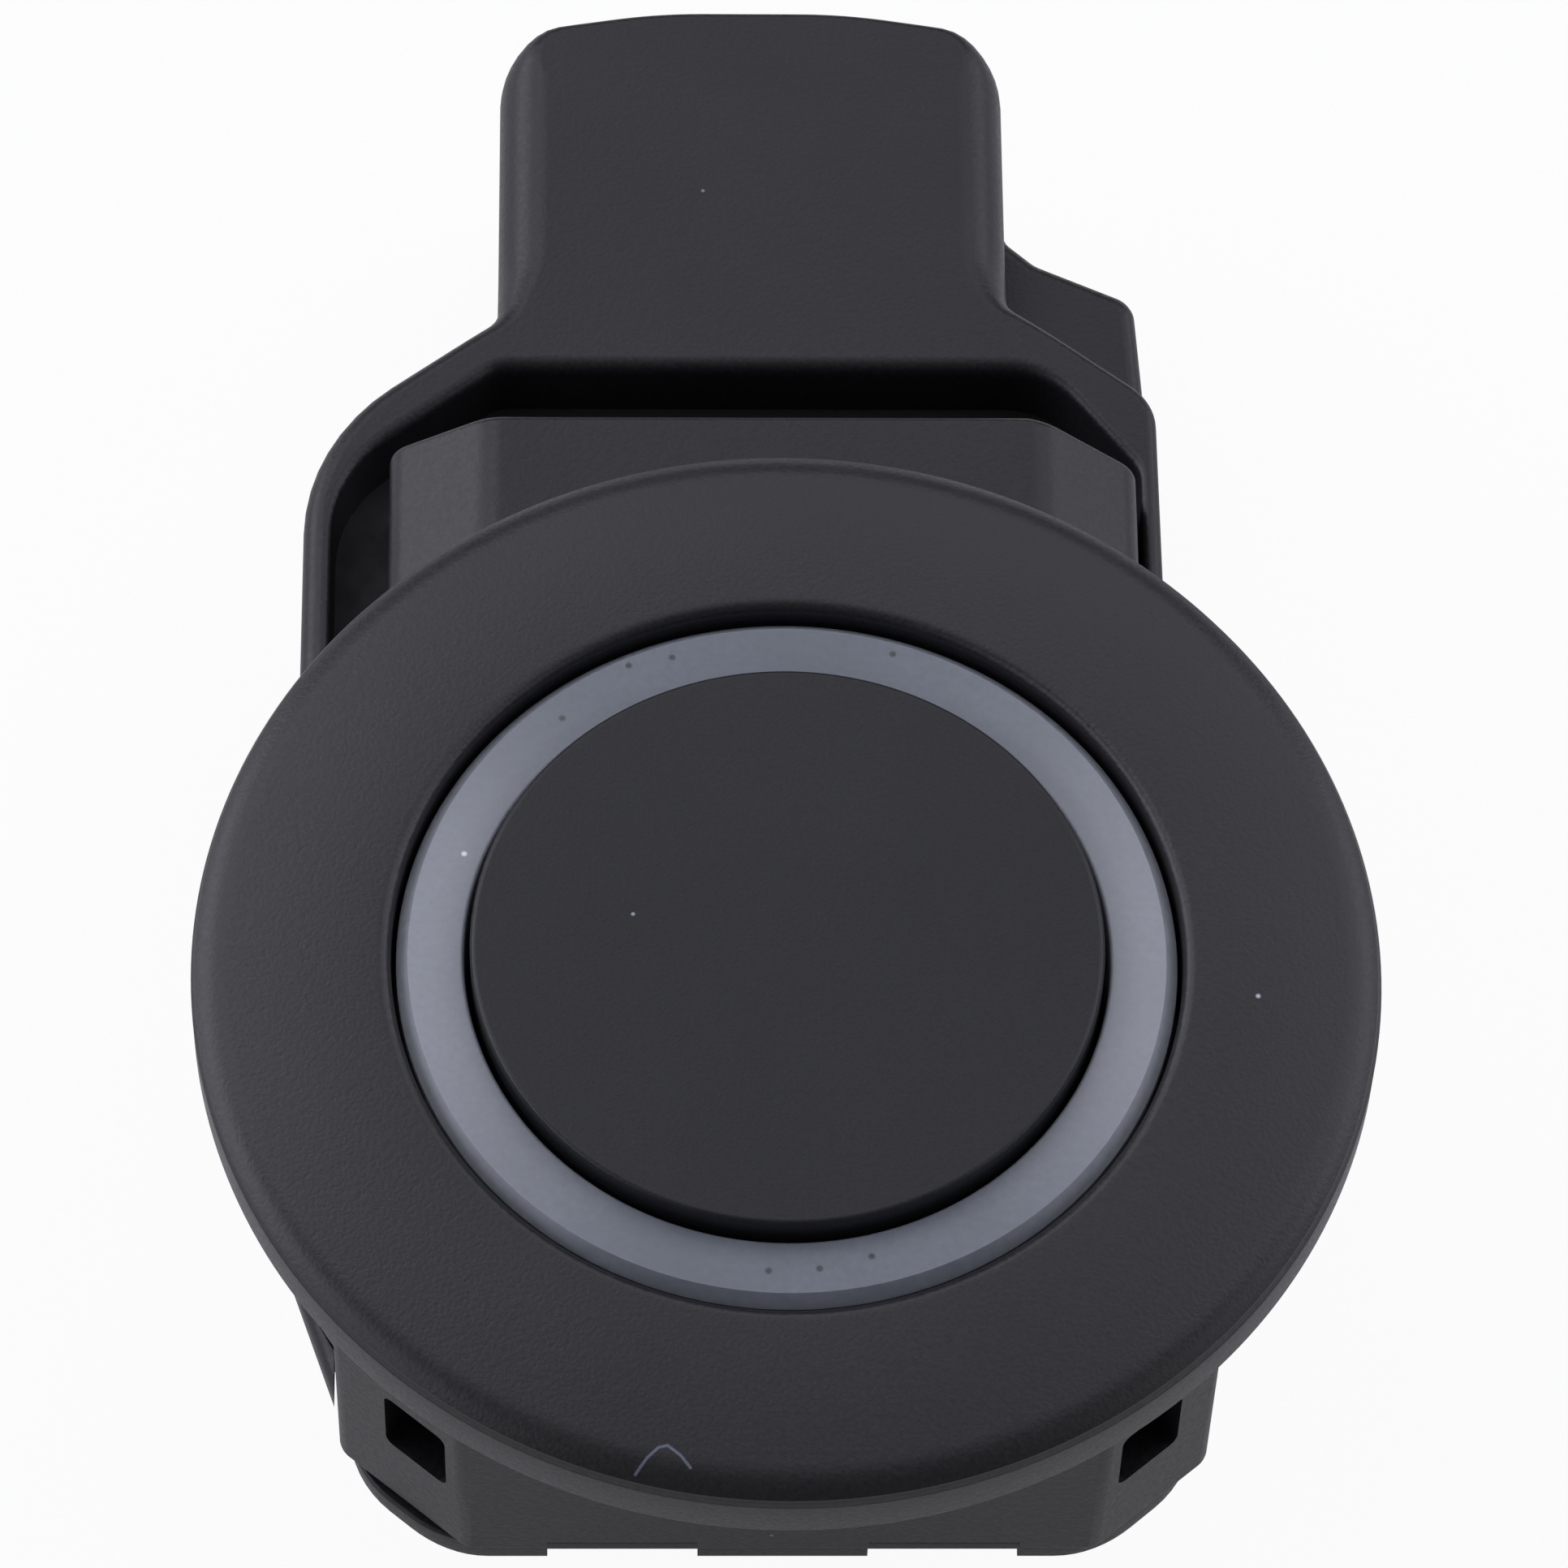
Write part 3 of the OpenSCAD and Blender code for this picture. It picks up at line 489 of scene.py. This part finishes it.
def speckle(material, width, code, centres):
    """Specks at places in millimetres."""
    tree = material.node_tree
    place = tree.nodes["Texture Coordinate"].outputs["Object"]
    nearest = FAR
    for centre in centres:
        gap = add(tree, "ShaderNodeVectorMath", {0: place, 1: lift(centre)},
                  operation="DISTANCE").outputs["Value"]
        nearest = add(tree, "ShaderNodeMath", {0: gap, 1: nearest}, operation="MINIMUM").outputs[0]
    tinted(material, nearest, width, code)


def hair(material, width, code, points):
    """A fine hair over points in millimetres, measured in plan so that it follows the surface below it."""
    tree = material.node_tree
    place = tree.nodes["Texture Coordinate"].outputs["Object"]
    plan = add(tree, "ShaderNodeVectorMath", {0: place, 1: (1, 1, 0)}, operation="MULTIPLY").outputs["Vector"]
    nearest = FAR
    for start, end in zip(points, points[1:]):
        start, end = Vector(lift((*start, 0))), Vector(lift((*end, 0)))
        along = end - start
        reach = add(tree, "ShaderNodeVectorMath", {0: plan, 1: start}, operation="SUBTRACT").outputs["Vector"]
        share = add(tree, "ShaderNodeVectorMath", {0: reach, 1: along / along.length_squared},
                    operation="DOT_PRODUCT")
        held = add(tree, "ShaderNodeClamp", {"Value": share.outputs["Value"]})
        foot = add(tree, "ShaderNodeVectorMath", {0: along, "Scale": held.outputs["Result"]},
                   operation="SCALE").outputs["Vector"]
        gap = add(tree, "ShaderNodeVectorMath", {0: reach, 1: foot}, operation="DISTANCE").outputs["Value"]
        nearest = add(tree, "ShaderNodeMath", {0: gap, 1: nearest}, operation="MINIMUM").outputs[0]
    tinted(material, nearest, width, code)


def dress(piece, material):
    """Give a piece one material."""
    piece.data.materials.clear()
    piece.data.materials.append(material)


def finish_piece(piece, node, material):
    """Shade, dress and register a new piece that stands for a node."""
    smooth(piece)
    dress(piece, material)
    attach(piece, "root")
    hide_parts(node)


def make_bezel():
    """Flange and hidden collar in one turned piece, leaning a little as in the photo."""
    inner, edge_r = OPENING_R + OPENING_ROUND, FLANGE_R - FLANGE_CORNER
    face, r, z = [], inner, FLANGE_IN_Z
    while r < edge_r:
        dome = DOME_TILT * min((r - inner) / (ROLL_START - inner), 1)
        roll = (ROLL_TILT - DOME_TILT) * max(0, (r - ROLL_START) / (edge_r - ROLL_START))
        r, z = r + DOME_STEP, z - DOME_STEP * math.tan(math.radians(dome + roll))
        face.append((min(r, edge_r), z))
    rear_edge = (FLANGE_R - FLANGE_REAR_ROUND, FLANGE_REAR_ROUND)
    bezel = turned("bezel_ring", [(OPENING_R, NECK_TOP_Z)]
                   + arc((inner, FLANGE_IN_Z - OPENING_ROUND), OPENING_ROUND, 180, 90) + face
                   + [(FLANGE_R, z - CORNER_DROP * FLANGE_CORNER)]
                   + arc(rear_edge, FLANGE_REAR_ROUND, 0, -90, SMALL_STEPS)
                   + [(COLLAR_R, 0), (COLLAR_R, ROOF_Z), (COLLAR_IN_R, ROOF_Z), (COLLAR_IN_R, NECK_TOP_Z)],
                   False)
    bezel.data.transform(Matrix.Rotation(math.radians(BEZEL_LEAN), 4, "X"))
    return bezel


def make_ring():
    """Ring with a bevelled lip round its outer edge, which almost touches the bezel."""
    return turned("silicone_ring", [(RING_IN_R, CUP_RIM_Z)]
                  + arc((RING_IN_R + RING_EDGE_R, RING_Z - RING_EDGE_R), RING_EDGE_R, 180, 90, SMALL_STEPS)
                  + [(RING_LIP_IN_R, RING_Z), (RING_LIP_R, RING_Z - RING_LIP_BEVEL),
                     (RING_LIP_R, RING_Z - RING_LIP_FOOT), (RING_OUT_R, RING_Z - RING_LIP_H),
                     (RING_OUT_R, CUP_RIM_Z)], False)


def make_cup():
    """Cup with a closed front, the sounding face, and a rim behind the ring."""
    return turned("sounding_cup", [(CUP_BORE_R / 2, FACE_BACK_Z), (CUP_BORE_R, FACE_BACK_Z),
                                   (CUP_BORE_R, CUP_Z), (CUP_RIM_R, CUP_Z), (CUP_RIM_R, CUP_RIM_Z),
                                   (FACE_R, CUP_RIM_Z)]
                  + arc((FACE_R - FACE_EDGE_R, FACE_Z - FACE_EDGE_R), FACE_EDGE_R, 0, 90)
                  + [(FACE_R / 2, FACE_Z)], True)


def cut_notches(body, low, high):
    """Two notches in the lower edge."""
    for side in (-1, 1):
        notch = block("notch", (side * NOTCH_X - NOTCH_W / 2, -BLOCK_END - CLEAR, low),
                      (side * NOTCH_X + NOTCH_W / 2, WALL - BLOCK_END + NOTCH_SPARE, high))
        combine(body, notch, "DIFFERENCE")


def make_arm():
    """Arm towards the connector: a soft section drawn in X and -Z and pulled along Y, its end skewed."""
    foot, shoulder, roof = STEP - JOINT_Z, -ARM_FOOT_Z, STEP - ROOF_Z
    section = rounded([(ARM_RIGHT, foot, HAIRLINE), (ARM_LEFT, foot, HAIRLINE),
                       (ARM_LEFT, shoulder, ARM_EDGE_ROUND), (ARM_ROOF_LEFT, roof, ARM_ROOF_ROUND),
                       (ARM_ROOF_RIGHT, roof, ARM_ROOF_ROUND), (ARM_RIGHT, shoulder, ARM_EDGE_ROUND)],
                      ROUND_STEPS)
    arm = soft_prism("arm", refined(section), ARM_START, ARM_END, even(HAIRLINE),
                     lambda way, y: ARM_ROUND if y < -ARM_SOFT_Z else HAIRLINE)
    arm.data.transform(Matrix.Rotation(math.radians(-90), 4, "X"))
    for vertex in arm.data.vertices:
        if vertex.co.y > ARM_END / 2 * MM:
            vertex.co.y -= max(0, vertex.co.x - ARM_SKEW_X * MM) * ARM_SKEW
    return arm


def make_front_housing():
    """Block and arm in one shell, with the neck that holds the cup, two corner windows and two notches."""
    body = soft_prism("front_shell", refined(block_outline(0)), JOINT_Z + BLOCK_GAP, BLOCK_ROOF_Z,
                      skirt_round, even(BLOCK_TOP_ROUND))
    combine(body, drum("recess", RECESS_R, ROOF_Z, 0), "DIFFERENCE")
    combine(body, make_arm(), "UNION")
    combine(body, pulled("hollow", block_outline(-WALL), JOINT_Z - CLEAR, ROOF_IN_Z), "DIFFERENCE")
    arm_room = block("arm_room", (ARM_LEFT + WALL, ARM_ROOM_START, JOINT_Z - CLEAR),
                     (ARM_RIGHT - WALL, ARM_END - WALL, ARM_FOOT_Z - ARM_ROOM_DROP))
    combine(body, arm_room, "DIFFERENCE")
    combine(body, drum("neck", NECK_R, NECK_LOW_Z, NECK_TOP_Z), "UNION")
    combine(body, drum("neck_bore", NECK_BORE_R, NECK_LOW_Z - CLEAR, NECK_TOP_Z + CLEAR), "DIFFERENCE")
    for side, corner in ((-1, CHAMFER_LEFT), (1, CHAMFER_RIGHT)):
        near, far = sorted((side * WINDOW_START, side * WINDOW_END))
        window = block("window", (near, -CLEAR, WINDOW_LOW), (far, WINDOW_DEPTH, WINDOW_HIGH))
        round_edges(window, SLOT_ROUND, SLOT_STEPS, runs_along(1))
        turn = Matrix.Rotation(math.radians(side * CHAMFER_TILT), 4, "Z")
        window.data.transform(Matrix.Translation(lift((corner, -BLOCK_END, 0))) @ turn)
        combine(body, window, "DIFFERENCE")
    cut_notches(body, JOINT_Z - CLEAR, JOINT_Z + NOTCH_H)
    return body


def front_round(way, y):
    """Radius of the rear housing's front edge: large on the connector's sides, small at its mouth and rim."""
    plug = MOUTH_ROUND + (PLUG_ROUND - MOUTH_ROUND) * way.normalized().x ** 2
    rim = RIM_ROUND + (RIM_LEFT_ROUND - RIM_ROUND) * max(way.normalized().x, 0)
    share = min(max((y - RIM_Y) / BLEND_L, 0), 1)
    return rim + (plug - rim) * share * share * (3 - 2 * share)


def moat_round(way, y):
    """Radius of the moat's edge: soft under the connector, small on the rim."""
    return MOAT_ROUND + (MOAT_TOP_ROUND - MOAT_ROUND) * max(-way.normalized().y, 0) ** 2


def make_rear_housing():
    """Tray and connector in one shell, with a moat round the block, the seat plate and the lug."""
    body = soft_prism("rear_shell", refined(rounded(REAR_PLAN)), REAR_Z, RIM_Z, even(REAR_ROUND), front_round)
    combine(body, pulled("heel_room", HEEL_ROOM, REAR_Z - CLEAR, HEEL_Z), "DIFFERENCE")
    moat = refined(rounded(MOAT_PLAN))
    rings = edge_rings(moat, RIM_Z, moat_round, -1, 1)
    foot = [(x, y, JOINT_Z) for x, y in moat]
    head = [(x, y, RIM_Z + CLEAR) for x, y, z in rings[-1]]
    combine(body, skinned("moat", [foot] + rings + [head]), "DIFFERENCE")
    block_room = pulled("block_room", block_outline(BLOCK_ROOM), JOINT_Z + STEP, RIM_Z + CLEAR)
    combine(body, block_room, "DIFFERENCE")
    plate = soft_prism("seat_plate", refined(rounded(PLATE_PLAN)), JOINT_Z - PLATE_T, JOINT_Z - STEP,
                       skirt_round, even(HAIRLINE))
    cut_notches(plate, JOINT_Z - PLATE_T - CLEAR, JOINT_Z - PLATE_T + NOTCH_H)
    combine(body, plate, "UNION")
    lug = soft_prism("lug", refined(rounded(LUG_PLAN)), REAR_Z + STEP, LUG_Z, even(LUG_LOW_ROUND),
                     lambda way, y: LUG_ROUND if y > RIM_Y else HAIRLINE)
    combine(body, lug, "UNION")
    pocket = block("pocket", (-POCKET_X, POCKET_LOW, LEDGE_Z), (POCKET_X, POCKET_END, JOINT_Z + CLEAR))
    combine(body, pocket, "DIFFERENCE")
    well = block("well", (LEDGE_W - POCKET_X, POCKET_LOW + LEDGE_W, FLOOR_Z),
                 (POCKET_X - LEDGE_W, POCKET_END - LEDGE_W, LEDGE_Z + CLEAR))
    combine(body, well, "DIFFERENCE")
    socket = block("socket", (PLUG_LEFT + PLUG_WALL, SOCKET_Y, REAR_Z + PLUG_WALL),
                   (PLUG_RIGHT - PLUG_WALL, MOUTH_Y + CLEAR, RIM_Z - PLUG_WALL))
    round_edges(socket, SOCKET_ROUND, SOCKET_STEPS, runs_along(1))
    combine(body, socket, "DIFFERENCE")
    latch = block("latch_window", (PLUG_X - LATCH_W / 2, MOUTH_Y - LATCH_FAR, REAR_Z - CLEAR),
                  (PLUG_X + LATCH_W / 2, MOUTH_Y - LATCH_NEAR, REAR_Z + LATCH_DEPTH))
    round_edges(latch, SLOT_ROUND, SLOT_STEPS, runs_along(2))
    combine(body, latch, "DIFFERENCE")
    for i in (-1, 0, 1):
        x = PLUG_X + i * PIN_PITCH
        pin_slot = block("pin_slot", (x - PIN_W / 2 - PIN_GAP, POCKET_END - CLEAR, BOARD_Z - PIN_GAP),
                         (x + PIN_W / 2 + PIN_GAP, SOCKET_Y + CLEAR, BOARD_Z + PIN_W + PIN_GAP))
        combine(body, pin_slot, "DIFFERENCE")
    return body


def make_terminal(name, place):
    """Square blade with a tapered tip."""
    x = PLUG_X + place * PIN_PITCH
    blade = block(name, (x - PIN_W / 2, PIN_START, BOARD_Z),
                  (x + PIN_W / 2, PIN_TIP - PIN_TAPER_L, BOARD_Z + PIN_W))
    take(blade)
    bpy.ops.object.mode_set(mode="EDIT")
    pick(blade, "FACE", lambda ends: all(v.y > PIN_START + STEP for v in ends))
    bpy.ops.mesh.extrude_region_move(TRANSFORM_OT_translate={"value": lift((0, PIN_TAPER_L, 0))})
    bpy.ops.transform.resize(value=(PIN_TAPER, 1, PIN_TAPER),
                             center_override=lift((x, PIN_TIP, BOARD_Z + PIN_W / 2)))
    bpy.ops.object.mode_set(mode="OBJECT")
    round_edges(blade, PIN_ROUND, PIN_STEPS, lambda ends: True)
    return blade


def make_floor():
    """Pale paper that takes the sensor's shadow. It is white to the camera and through clear pieces, and
    gloss sees a fifth of that white, because the real sensor's dark sides hardly mirror what it lies on."""
    bpy.ops.object.select_all(action="DESELECT")
    bpy.ops.mesh.primitive_plane_add(size=FLOOR_SIZE, location=(0, 0, 0))
    floor = bpy.context.object
    floor.name = "floor"
    bpy.ops.object.mode_set(mode="EDIT")
    bpy.ops.mesh.select_all(action="SELECT")
    bpy.ops.transform.translate(value=(0, 0, REAR_Z * MM))
    bpy.ops.object.mode_set(mode="OBJECT")
    paper = bpy.data.materials.new("white_paper")
    paper.use_nodes = True
    tree = paper.node_tree
    tree.nodes.clear()
    matte = add(tree, "ShaderNodeBsdfDiffuse", {"Color": linear(FLOOR_GREY)})
    glow = add(tree, "ShaderNodeEmission", {"Color": linear("#ffffff"), "Strength": 1.0})
    rays = add(tree, "ShaderNodeLightPath")
    seen = add(tree, "ShaderNodeMath", {0: rays.outputs["Is Camera Ray"],
                                        1: rays.outputs["Is Transmission Ray"]}, operation="MAXIMUM")
    gloss = add(tree, "ShaderNodeMath", {0: rays.outputs["Is Glossy Ray"], 1: FLOOR_IN_GLOSS},
                operation="MULTIPLY")
    either = add(tree, "ShaderNodeMath", {0: seen.outputs[0], 1: gloss.outputs[0]}, operation="MAXIMUM")
    share = add(tree, "ShaderNodeMath", {0: either.outputs[0], 1: FLOOR_WHITE}, operation="MULTIPLY")
    both = add(tree, "ShaderNodeMixShader", {0: share.outputs[0], 1: matte.outputs[0], 2: glow.outputs[0]})
    add(tree, "ShaderNodeOutputMaterial", {"Surface": both.outputs[0]})
    dress(floor, paper)


def make_room():
    """Dim, even light from the room."""
    world = bpy.data.worlds.new("studio")
    bpy.context.scene.world = world
    world.use_nodes = True
    world.node_tree.nodes.clear()
    room = add(world.node_tree, "ShaderNodeBackground", {"Color": ROOM_COLOUR, "Strength": ROOM_LIGHT})
    add(world.node_tree, "ShaderNodeOutputWorld", {"Surface": room.outputs[0]})


make_camera()
for lamp in LAMPS:
    make_lamp(*lamp)

# Black PBT, moulded in a finely eroded tool: dull, with a grain that glitters faintly at a low angle
plastic = surface("moulded_black_pbt", "#161517", "#1e1d20", patch=6, grain=0.11, rough=(0.34, 0.44),
                  bump=0.5)
hair(plastic, *HAIR)
speckle(plastic, *BEZEL_DUST)
# The same PBT in the housings, whose tools were eroded a little coarser: a slightly weaker shine
housing_plastic = surface("moulded_black_pbt_housing", "#161517", "#1e1d20", patch=6, grain=0.13,
                          rough=(0.34, 0.44), bump=0.5, specular=0.42)
speckle(housing_plastic, *HOUSING_DUST)
# Matte lacquer sprayed on an aluminium cup: even, with a very fine orange peel
lacquer = surface("matte_black_lacquer", "#161618", "#1d1d20", patch=5, grain=0.09, rough=(0.36, 0.44),
                  bump=0.3, specular=0.4)
speckle(lacquer, *FACE_DUST)
# Grey silicone rubber, moulded: even and slightly dull, with a bluish cast. The rings of its turned mould
# make it shine towards lights on its left and right, and its IOR is above silicone's 1.41 to match that shine
silicone = surface("grey_silicone", "#646a73", "#757b85", patch=4, grain=0.2, rough=(0.42, 0.48), bump=0.12,
                   ior=1.8, specular=1.0)
shine_in_rings(silicone)
speckle(silicone, *RING_DUST)
speckle(silicone, *RING_SPOTS)
# Brass blades, tinned: pale and warm, with the soft shine of a plated strip
tin = surface("tinned_brass", "#a8a497", "#c9c4b4", patch=1.5, grain=0.05, rough=(0.25, 0.4), bump=0.1,
              metallic=1.0)

finish_piece(make_bezel(), "bezel", plastic)
finish_piece(make_ring(), "decoupling_ring", silicone)
finish_piece(make_cup(), "transducer_cup", lacquer)
finish_piece(make_front_housing(), "front_housing", housing_plastic)
finish_piece(make_rear_housing(), "rear_housing", housing_plastic)
for name, place in (("supply", -1), ("signal", 0), ("ground", 1)):
    finish_piece(make_terminal("pin_" + name, place), "terminal_" + name, tin)

# Inner pieces keep their CAD meshes. Each row is a finish: colours, patch, grain, roughness, bump
inner = {
    # PZT ceramic with fired silver on it: pale, slightly yellow, satin
    "piezo_disc": surface("silvered_ceramic", "#b8b19b", "#cfc9b6", 2, 0.08, (0.35, 0.5), 0.15),
    # Polyurethane foam, cut: open cells that look rough and dusty
    "damping_pad": surface("damping_foam", "#7d796f", "#989489", 0.8, 0.25, (0.8, 0.95), 0.8),
    # White silicone, poured and cured: milky, with a soft shine
    "cup_backing": surface("white_silicone", "#adb0b4", "#c2c5c9", 3, 0.3, (0.45, 0.6), 0.2, ior=1.41),
    # Glass-filled nylon, moulded: dark grey, faintly mottled by its fibres
    "retaining_ring": surface("glass_filled_nylon", "#2c2c2e", "#424245", 1.5, 0.1, (0.4, 0.6), 0.3),
    # PVC insulation, extruded: even colour, a smooth dull shine
    "signal_lead": surface("red_wire_pvc", "#9c3022", "#b8442f", 2, 0.1, (0.35, 0.5), 0.1),
    "ground_lead": surface("black_wire_pvc", "#222224", "#333336", 2, 0.1, (0.35, 0.5), 0.1),
    # Black sealant, laid as a bead: nearly matte and very dark
    "housing_seal": surface("black_sealant", "#0b0b0c", "#0e0e0f", 3, 0.4, (0.6, 0.7), 0.05),
    # Green solder resist, printed over copper and glass: a glossy film
    "circuit_board": surface("green_solder_resist", "#22573a", "#347a4f", 2, 0.15, (0.25, 0.4), 0.15),
    # Epoxy, moulded with silica: black, dull and finely sandy
    "control_chip": surface("moulded_epoxy", "#1c1c1e", "#2a2a2d", 1, 0.06, (0.5, 0.65), 0.3),
    # Ferrite, pressed, fired and ground: dark brown-grey, stony
    "transformer_core": surface("ground_ferrite", "#3d3a38", "#53504d", 1, 0.08, (0.45, 0.65), 0.3),
    # Phenolic resin, moulded: cream, with a satin skin
    "transformer_bobbin": surface("phenolic_bobbin", "#cbc4b0", "#ded8c7", 2, 0.15, (0.4, 0.55), 0.15),
    # Copper wire under enamel, wound: warm metal, uneven from its fine turns
    "transformer_winding": surface("enamelled_copper", "#8a4526", "#b8693d", 0.6, 0.1, (0.25, 0.4), 0.6,
                                   metallic=1.0),
    # Aluminium can, deep drawn: bright grey with a soft shine
    "storage_capacitor": surface("drawn_aluminium", "#a5a7aa", "#c3c5c8", 1, 0.06, (0.25, 0.4), 0.1,
                                 metallic=1.0),
    # Barium titanate ceramic, fired: tan, smooth and dull
    "chip_capacitors": surface("fired_ceramic", "#a38a5e", "#bfa476", 0.8, 0.08, (0.4, 0.55), 0.2),
    # Resistor glaze, printed and fired: black with a glassy shine
    "chip_resistors": surface("resistor_glaze", "#161618", "#232326", 0.6, 0.06, (0.3, 0.45), 0.2),
    # Epoxy, moulded: black and dull, as on the chip
    "clamp_diode": surface("diode_epoxy", "#1e1e21", "#2c2c30", 0.8, 0.06, (0.5, 0.65), 0.3),
}
for name, material in inner.items():
    dress(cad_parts[name], material)

make_floor()
make_room()
bpy.context.scene.view_settings.view_transform = "Standard"
